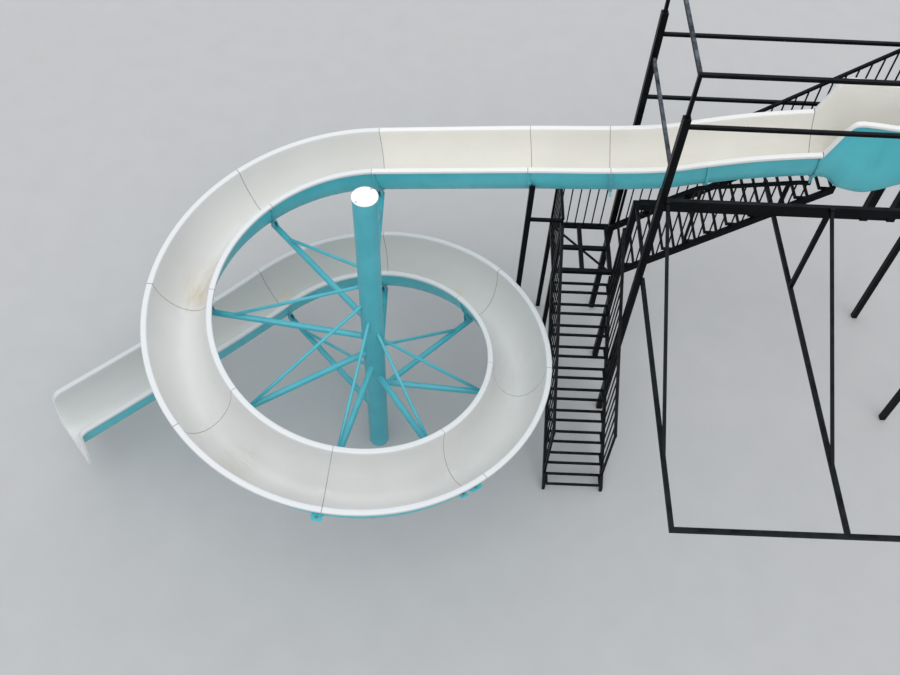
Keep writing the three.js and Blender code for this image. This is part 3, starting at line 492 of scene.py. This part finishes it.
def section(depth=FLUME_DEPTH, rib=0.0, fullness=ROUND_BOWL):
    """Closed loop of (x, z, surface), outside from one rim to the other and back inside."""
    outside, inside = half_section(depth, rib, fullness)
    other_inside = [(-x, z, tag) for x, z, tag in inside]
    back = [(-x, z, tag) for x, z, tag in mirrored(inside)]
    return outside + mirrored(outside) + other_inside + back


# Meshes
def add_mesh(name, verts, faces, materials, indices=None, sharp=SHARP, flow=None):
    mesh = bpy.data.meshes.new(name)
    mesh.from_pydata([tuple(v) for v in verts], [], faces)
    for material in materials:
        mesh.materials.append(material)
    if indices:
        mesh.polygons.foreach_set("material_index", indices)
    mesh.polygons.foreach_set("use_smooth", [True] * len(mesh.polygons))
    if flow:
        layer = mesh.uv_layers.new(name="flow")
        layer.data.foreach_set("uv", [c for loop in mesh.loops for c in flow[loop.vertex_index]])
    mesh.update()
    mesh.set_sharp_from_angle(angle=math.radians(sharp))
    piece = bpy.data.objects.new(name, mesh)
    bpy.context.scene.collection.objects.link(piece)
    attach(piece, "root")
    return piece


def flume_piece(name, node, stations):
    """stations: (distance in mm, place, depth, rib, fullness, whether sealant fills the joint there)."""
    verts, flow, faces, indices = [], [], [], []
    for distance, place, depth, rib, fullness, _ in stations:
        for x, z, _ in section(depth, rib, fullness):
            verts.append(place(x, z))
            flow.append((distance * MM, (x + (z if x > 0 else -z)) * MM))
    tags = [tag for _, _, tag in section()]
    count = len(tags)
    for ring in range(len(stations) - 1):
        in_joint = stations[ring][5]
        a, b = ring * count, (ring + 1) * count
        for i in range(count):
            j = (i + 1) % count
            faces.append((a + i, a + j, b + j, b + i))
            sealed = in_joint and tags[i] != "outside"
            indices.append(SURFACES["joint" if sealed else tags[i]])
    faces.append(tuple(reversed(range(count))))
    faces.append(tuple(range((len(stations) - 1) * count, len(stations) * count)))
    indices += [SURFACES["rim"]] * 2
    piece = add_mesh(name, verts, faces, FLUME_MATERIALS, indices, flow=flow)
    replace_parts(piece, node)


def flume_run(name, node, start, end, steps, station, per_mm=1.0, middle=None):
    """A length from one flange to the other, with a dark groove at both joints."""
    sign = 1 if end > start else -1
    rib = sign * RIB_WIDTH * per_mm
    line = sign * JOINT_LINE * per_mm
    inner, outer = start + rib, end - rib
    groove = RIB - JOINT_GROOVE
    rows = [station(start, groove, True), station(start + line, RIB), station(inner, RIB)]
    for at in evenly(inner, outer, steps):
        if middle is not None and (at - middle) * sign > 0:
            rows += [station(middle - rib, 0.0), station(middle - rib, RIB),
                     station(middle + rib, RIB), station(middle + rib, 0.0)]
            middle = None
        rows.append(station(at, 0.0))
    rows += [station(outer, RIB), station(end - line, RIB, True), station(end, groove)]
    flume_piece(name, node, rows)


class Kit:
    """Collects simple solids, given in metres, and makes one mesh of them."""

    def __init__(self):
        self.verts, self.faces = [], []

    def add(self, verts, faces):
        first = len(self.verts)
        self.verts += verts
        self.faces += [tuple(first + i for i in face) for face in faces]

    def tube(self, rings, sides):
        """Closed body through rings given as (centre, axis, radius)."""
        loops = []
        for centre, axis, radius in rings:
            side = axis.orthogonal().normalized()
            other = axis.cross(side).normalized()
            turns = [2 * math.pi * i / sides for i in range(sides)]
            loops.append([centre + radius * (side * math.cos(t) + other * math.sin(t)) for t in turns])
        self.loft(loops)

    def loft(self, rings):
        """Closed body through rings of points, each in the same order."""
        count = len(rings[0])
        faces = [(a + i, a + (i + 1) % count, b + (i + 1) % count, b + i)
                 for a, b in ((ring * count, (ring + 1) * count) for ring in range(len(rings) - 1))
                 for i in range(count)]
        faces += [tuple(reversed(range(count))), tuple(range((len(rings) - 1) * count, len(rings) * count))]
        self.add([p for ring in rings for p in ring], faces)

    def rod(self, start, end, radius, sides, ease=0.0):
        axis = (end - start).normalized()
        rings = [(start, axis, radius), (end, axis, radius)]
        if ease:
            rings = [(start, axis, radius - ease), (start + axis * ease, axis, radius),
                     (end - axis * ease, axis, radius), (end, axis, radius - ease)]
        self.tube(rings, sides)

    def plate(self, outline, thickness):
        """A flat body: outline points in order, and a vector through its thickness."""
        count = len(outline)
        verts = [p - thickness / 2 for p in outline] + [p + thickness / 2 for p in outline]
        faces = [tuple(reversed(range(count))), tuple(range(count, 2 * count))]
        faces += [(i, (i + 1) % count, count + (i + 1) % count, count + i) for i in range(count)]
        self.add(verts, faces)

    def bolt(self, seat, axis, across=0.017, height=0.007):
        """A washer and a hexagon head that stand on the seat."""
        axis = axis.normalized()
        self.rod(seat, seat + axis * WASHER, across * WASHER_REACH, 16)
        top = seat + axis * (WASHER + height)
        corner = across / 2 * HEXAGON_CORNER
        self.tube([(seat, axis, corner), (top - axis * BOLT_EASE, axis, corner), (top, axis, across / 2)], 6)

    def weld_ring(self, centre, axis, radius):
        self.tube([(centre + axis * s, axis, radius + more) for s, more in WELD_PROFILE], WELD_SIDES)

    def build(self, name, material, slot, sharp=SHARP):
        return add_mesh(name, self.verts, self.faces, [material], sharp=sharp)


# Materials and stains
rim = rim_material()
outside = outside_material()
sealant = joint_material()
zinc = bolt_material()
paint = column_material()
cap_paint = cap_material()
black = steel_material("black_paint_on_steel", 0.10)
# Much more of the upward-face dust and painted sky reflection, for rails whose tops are lighter.
dusty_sheen_black = steel_material("dusty_black_paint_with_painted_sky_sheen", 1.0)
BROWN = (0.30, 0.22, 0.12, 1)
PALE_BROWN = (0.52, 0.43, 0.30, 1)
TAN = (0.36, 0.29, 0.18, 1)
SAND = (0.62, 0.55, 0.36, 1)
GREY_STREAK = grey(0.52)
STAINS = [
    (tuple(joint_place(1.60)(-20, -600)), 0.02, 0.24, 0.40, PALE_BROWN),
    (tuple(joint_place(1.76)(20, -600)), 0.05, 0.30, 0.55, PALE_BROWN),
    (tuple(joint_place(1.90)(-20, -600)), 0.05, 0.28, 0.55, PALE_BROWN),
    (tuple(joint_place(1.70)(-259, -393)), 0.08, 0.34, 0.35, BROWN),
    (tuple(joint_place(3.35)(60, -600)), 0.08, 0.40, 0.22, TAN),
    (tuple(joint_place(6.18)(27, -603)), 0.06, 0.45, 0.34, GREY_STREAK),
    (tuple(joint_place(6.38)(20, -603)), 0.06, 0.40, 0.30, GREY_STREAK),
    (tuple(joint_place(5.08)(105, -575)), 0.05, 0.35, 0.28, GREY_STREAK),
    (tuple(joint_place(7.32)(53, -598)), 0.03, 0.12, 0.55, SAND),
    (tuple(joint_place(6.08)(-330, -60)), 0.03, 0.12, 0.50, SAND),
    (tuple(joint_place(8.9)(154, -539)), 0.03, 0.14, 0.50, SAND),
]
FLUME_MATERIALS = [rim, inside_material(STAINS), outside, sealant]


# Stations along each kind of flume
def bend_station(a, rib, in_joint=False):
    return a * FLUME_RADIUS, helix_place(a), FLUME_DEPTH, rib, ROUND_BOWL, in_joint


def straight_station(s, rib, in_joint=False):
    return -s, on_straight(s), FLUME_DEPTH, rib, ROUND_BOWL, in_joint


def tub_station(s, rib, in_joint=False):
    top = smooth_height(TUB_RIM, s)
    past = min(1.0, (s - TUB_RIM[0][0]) / TUB_TILT_FADE)
    place = straight_place(s, top, JOINT_TILT * (1 - past))
    fullness = ROUND_BOWL + (FULL_BOWL - ROUND_BOWL) * past
    return -s, place, top - smooth_height(TUB_BELLY, s), rib, fullness, in_joint


def run_out_station(d, rib, in_joint=False):
    lip, corner = run_out_lip(d)
    along = LAST_JOINT * FLUME_RADIUS + d
    return along, run_out_place(d, lip - corner), FLUME_DEPTH - corner, rib, ROUND_BOWL, in_joint


# Flume
for i in range(BEND_COUNT):
    first = FIRST_JOINT + i * BEND + HALF_GAP / FLUME_RADIUS
    last = FIRST_JOINT + (i + 1) * BEND - HALF_GAP / FLUME_RADIUS
    flume_run(f"flume_bend_{i + 1}", f"bend_{i + 1}", first, last, BEND_STEPS, bend_station, 1 / FLUME_RADIUS)

for i in range(len(STRAIGHT_JOINTS) - 1):
    upper, lower = STRAIGHT_JOINTS[i + 1] - HALF_GAP, STRAIGHT_JOINTS[i] + HALF_GAP
    steps = max(FEWEST_STEPS, round((upper - lower) / STRAIGHT_STEP))
    flume_run(f"flume_straight_{i + 1}", f"straight_{i + 1}", upper, lower, steps, straight_station,
              middle=MIDDLE_RIB if lower < MIDDLE_RIB < upper else None)

flume_run("flume_tub", "start_tub", float(TUB_RIM[-1][0]), TUB_RIM[0][0] + HALF_GAP, TUB_STEPS, tub_station)

corner_start = RUN_OUT_LENGTH - END_CORNER
flume_end = RUN_OUT_LENGTH - END_INSET
first_ring = HALF_GAP + RIB_WIDTH
run_rows = [run_out_station(HALF_GAP, RIB - JOINT_GROOVE, True),
            run_out_station(HALF_GAP + JOINT_LINE, RIB), run_out_station(first_ring, RIB)]
run_rows += [run_out_station(d, 0) for d in evenly(first_ring, corner_start, RUN_OUT_STEPS)]
run_rows += [run_out_station(d, 0) for d in evenly(corner_start, flume_end, END_CORNER_STEPS)[1:]]
flume_piece("flume_run_out", "run_out", run_rows)


def panel_ring(distance, inset):
    """The end panel's outline at a place along the run-out, square outside and round inside."""
    lip, corner = run_out_lip(distance)
    side, low = PANEL_HALF_WIDTH - inset, corner - PANEL_DEPTH + inset
    outer = [(side, -PANEL_LAP), (side, low + PANEL_CORNER),
             (side - PANEL_CORNER_CUT, low + PANEL_CORNER_CUT), (side - PANEL_CORNER, low)]
    half = BOWL_HALF_WIDTH - PANEL_LAP
    inner = [(half, -PANEL_LAP)] + bowl(half, FLUME_DEPTH - corner - PANEL_LAP, ROUND_BOWL)
    loop = outer + [(-x, z) for x, z in reversed(outer)]
    loop += [(-x, z) for x, z in inner] + list(reversed(inner))
    place = run_out_place(distance, lip - corner)
    return [place(x, z) for x, z in loop]


end_panel = Kit()
panel_start = RUN_OUT_LENGTH - PANEL_THICKNESS
end_panel.loft([panel_ring(panel_start, PANEL_EASE), panel_ring(panel_start + PANEL_EASE, 0),
                panel_ring(RUN_OUT_LENGTH - PANEL_EASE, 0), panel_ring(RUN_OUT_LENGTH, PANEL_EASE)])
end_panel.build("run_out_end_panel", rim, "flume")

# Bolts round each joint's flanges, and the small feet under the straight's ribs
joint_bolts, rib_feet = Kit(), Kit()
joint_places = [helix_place(FIRST_JOINT + i * BEND) for i in range(BEND_COUNT + 1)]
joint_places += [on_straight(s) for s in STRAIGHT_JOINTS[1:]]
for place in joint_places:
    through = square_to(place)
    for i in range(BOLTS_PER_JOINT):
        turn = math.pi * (i + FIRST_BOLT) / (BOLTS_PER_JOINT + BOLT_SPARE)
        x = (BOWL_HALF_WIDTH + RIB / 2) * math.cos(turn)
        z = -(FLUME_DEPTH + RIB / 2) * math.sin(turn)
        for side in (-1, 1):
            joint_bolts.bolt(place(x, z) + through * side * (RIB_WIDTH * MM), through * side)
joint_bolts.build("flange_bolts", zinc, "flume", BOLT_SHARP)

for s in STRAIGHT_JOINTS[1:] + [MIDDLE_RIB]:
    place = on_straight(s)
    through = square_to(place)
    for x in (-FOOT_PLACE, FOOT_PLACE):
        left, right = x - FOOT_WIDTH / 2, x + FOOT_WIDTH / 2
        top, low = FOOT_LAP - rib_depth(x), -rib_depth(x) - FOOT_DROP
        outline = [(left, top), (left, low + FOOT_CORNER), (left + FOOT_CORNER, low),
                   (right - FOOT_CORNER, low), (right, low + FOOT_CORNER), (right, top)]
        for side in (-1, 1):
            shift = through * side * (RIB_WIDTH - FOOT_PLATE / 2) * MM
            rib_feet.plate([place(a, b) + shift for a, b in outline], through * FOOT_PLATE * MM)
rib_feet.build("rib_feet", outside, "flume")

# Flat ears under the outer rim: joint, way past it, half length, reach from the middle
ears, ear_bolts = Kit(), Kit()
for joint, past, half, reach in EARS:
    outline = [(-half, EAR_ROOT), (-half, reach - EAR_ROUND), (-half + EAR_ROUND, reach),
               (half - EAR_ROUND, reach), (half, reach - EAR_ROUND), (half, EAR_ROOT)]
    corners = [joint_place(joint, past + a)(x, -EAR_BELOW_LIP) for a, x in outline]
    up = Vector((0, 0, EAR_THICKNESS * MM))
    ears.plate(corners, up)
    seat = joint_place(joint, past)(reach - EAR_BOLT_INSET, -EAR_BELOW_LIP) + up / 2
    ear_bolts.bolt(seat, up, across=0.024, height=0.011)
ears.build("flume_ears", outside, "flume")
ear_bolts.build("ear_bolts", zinc, "flume", BOLT_SHARP)

# Smooth column
column = Kit()
column.rod(Vector((0, 0, 0)), Vector((0, 0, COLUMN_HEIGHT * MM)), COLUMN_RADIUS * MM, COLUMN_SIDES)
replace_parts(column.build("column_shaft", paint, "column_paint"), "central_column")

# Arms: a strut and a tie, both round, and two cheeks that hold the flume's flange
for i in range(BEND_COUNT + 1):
    place = helix_place(FIRST_JOINT + i * BEND)
    lip = (HELIX_TOP_LIP - DROP_PER_RADIAN * i * BEND) * MM
    tip = place(STRUT_REACH - FLUME_RADIUS, -STRUT_END_DROP)
    root = Vector((tip.x, tip.y, 0)).normalized() * ROOT_DISTANCE
    strut_root = root + Vector((0, 0, lip - STRUT_ROOT_DROP * MM))
    tie_root = root + Vector((0, 0, lip + TIE_ROOT_RISE * MM))
    tie_end = strut_root.lerp(tip, TIE_REACH / STRUT_REACH)
    arm = Kit()
    arm.rod(strut_root, tip, STRUT_RADIUS * MM, STRUT_SIDES, STRUT_EASE)
    arm.rod(tie_root, tie_end, TIE_RADIUS * MM, TIE_SIDES)
    for start, end, radius in ((strut_root, tip, STRUT_RADIUS), (tie_root, tie_end, TIE_RADIUS)):
        axis = (end - start).normalized()
        inside_run = (COLUMN_RADIUS * MM - ROOT_DISTANCE) / math.hypot(axis.x, axis.y)
        arm.weld_ring(start + axis * inside_run, axis, radius * MM)
    tie_axis = (tie_end - tie_root).normalized()
    arm.weld_ring(tie_end - tie_axis * TIE_WELD_BACK, tie_axis, TIE_RADIUS * MM)
    through = square_to(place)
    cheek = [(x, max(-rib_depth(x, CHEEK_CLEARANCE), CHEEK_SHORTEST - STRUT_END_DROP)) for x in CHEEK_TOP]
    cheek += [(x, -STRUT_END_DROP) for x in CHEEK_FOOT]
    for side in (-1, 1):
        shift = through * side * CHEEK_ASIDE * MM
        arm.plate([place(x, z) + shift for x, z in cheek], through * CHEEK_THICKNESS * MM)
    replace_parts(arm.build(f"arm_{i + 1}_steelwork", paint, "column_paint"), f"arm_{i + 1}")

# The square tubes and flat pieces keep their solids, with eased edges
PAINTS = {"black_steel": black, "column_paint": paint, "cap": cap_paint, "flume": outside}
# Rails whose upward faces carry much more dust and painted sky reflection.
SHEEN_RAILS = ("left_top_rail", "left_side_rail")
THIN_EASE, WIDE_EASE = 0.0025, 0.006
slots = {part["node"]: part["material_slot"] for part in frame["record"]["subparts"]}
for node_name, node in frame["nodes"].items():
    node.data.materials.clear()
    node.data.materials.append(dusty_sheen_black if node_name in SHEEN_RAILS else PAINTS[slots[node_name]])
    if slots[node_name] in ("black_steel", "cap"):
        ease = node.modifiers.new("eased_edges", "BEVEL")
        ease.width = THIN_EASE if "railing" in node_name or "flight" in node_name else WIDE_EASE
        ease.segments = 2
        ease.limit_method = "ANGLE"
        ease.angle_limit = math.radians(40)
        ease.use_clamp_overlap = True

# Camera at the photograph's place
CAMERA_PLACE = Vector((0.847146, -6.764493, 12.052629))
YAW, PITCH, ROLL = -0.015576663, 0.950484821, -0.0536642547
SENSOR_WIDTH, LENS, CLIP_END = 36.0, 37.6201, 200.0
forward = Vector((-math.sin(YAW) * math.cos(PITCH), math.cos(YAW) * math.cos(PITCH), -math.sin(PITCH)))
level = Vector((math.cos(YAW), math.sin(YAW), 0.0))
down = forward.cross(level)
right = math.cos(ROLL) * level + math.sin(ROLL) * down
lower = -math.sin(ROLL) * level + math.cos(ROLL) * down
camera_data = bpy.data.cameras.new("camera")
camera_data.sensor_width = SENSOR_WIDTH
camera_data.lens = LENS
camera_data.clip_end = CLIP_END
camera = bpy.data.objects.new("camera", camera_data)
bpy.context.scene.collection.objects.link(camera)
axes = [[right[i], -lower[i], -forward[i], CAMERA_PLACE[i]] for i in range(3)]
camera.matrix_world = Matrix(axes + [[0, 0, 0, 1]])
bpy.context.scene.camera = camera

# Pale floor
FLOOR_HALF, FLOOR_Z = 60, -0.002
floor_data = bpy.data.meshes.new("floor")
corners = [(-1, -1), (1, -1), (1, 1), (-1, 1)]
floor_data.from_pydata([(x * FLOOR_HALF, y * FLOOR_HALF, FLOOR_Z) for x, y in corners], [], [(0, 1, 2, 3)])
floor = bpy.data.objects.new("floor", floor_data)
bpy.context.scene.collection.objects.link(floor)
ground = Graph("pale_floor")
floor_data.materials.append(ground.finish(ground.mix(ground.noise(2.0), grey(0.40), grey(0.44)), 0.9))

# Soft light: name, strength, angle in degrees, turn
LIGHTS = (("key", 1.23, 60, (0.50, 0.0, 0.0)), ("fill", 0.44, 90, (0.6, 0.0, 2.8)))
SKY_COLOUR, SKY_STRENGTH = (0.93, 0.955, 1.0, 1), 0.90
bpy.context.scene.view_settings.view_transform = "Standard"
world = bpy.data.worlds.new("soft_sky")
world.use_nodes = True
sky = world.node_tree.nodes["Background"]
sky.inputs[0].default_value = SKY_COLOUR
sky.inputs[1].default_value = SKY_STRENGTH
bpy.context.scene.world = world
for name, energy, angle, turn in LIGHTS:
    light_data = bpy.data.lights.new(name, "SUN")
    light_data.energy = energy
    light_data.angle = math.radians(angle)
    light = bpy.data.objects.new(name, light_data)
    light.rotation_euler = turn
    bpy.context.scene.collection.objects.link(light)
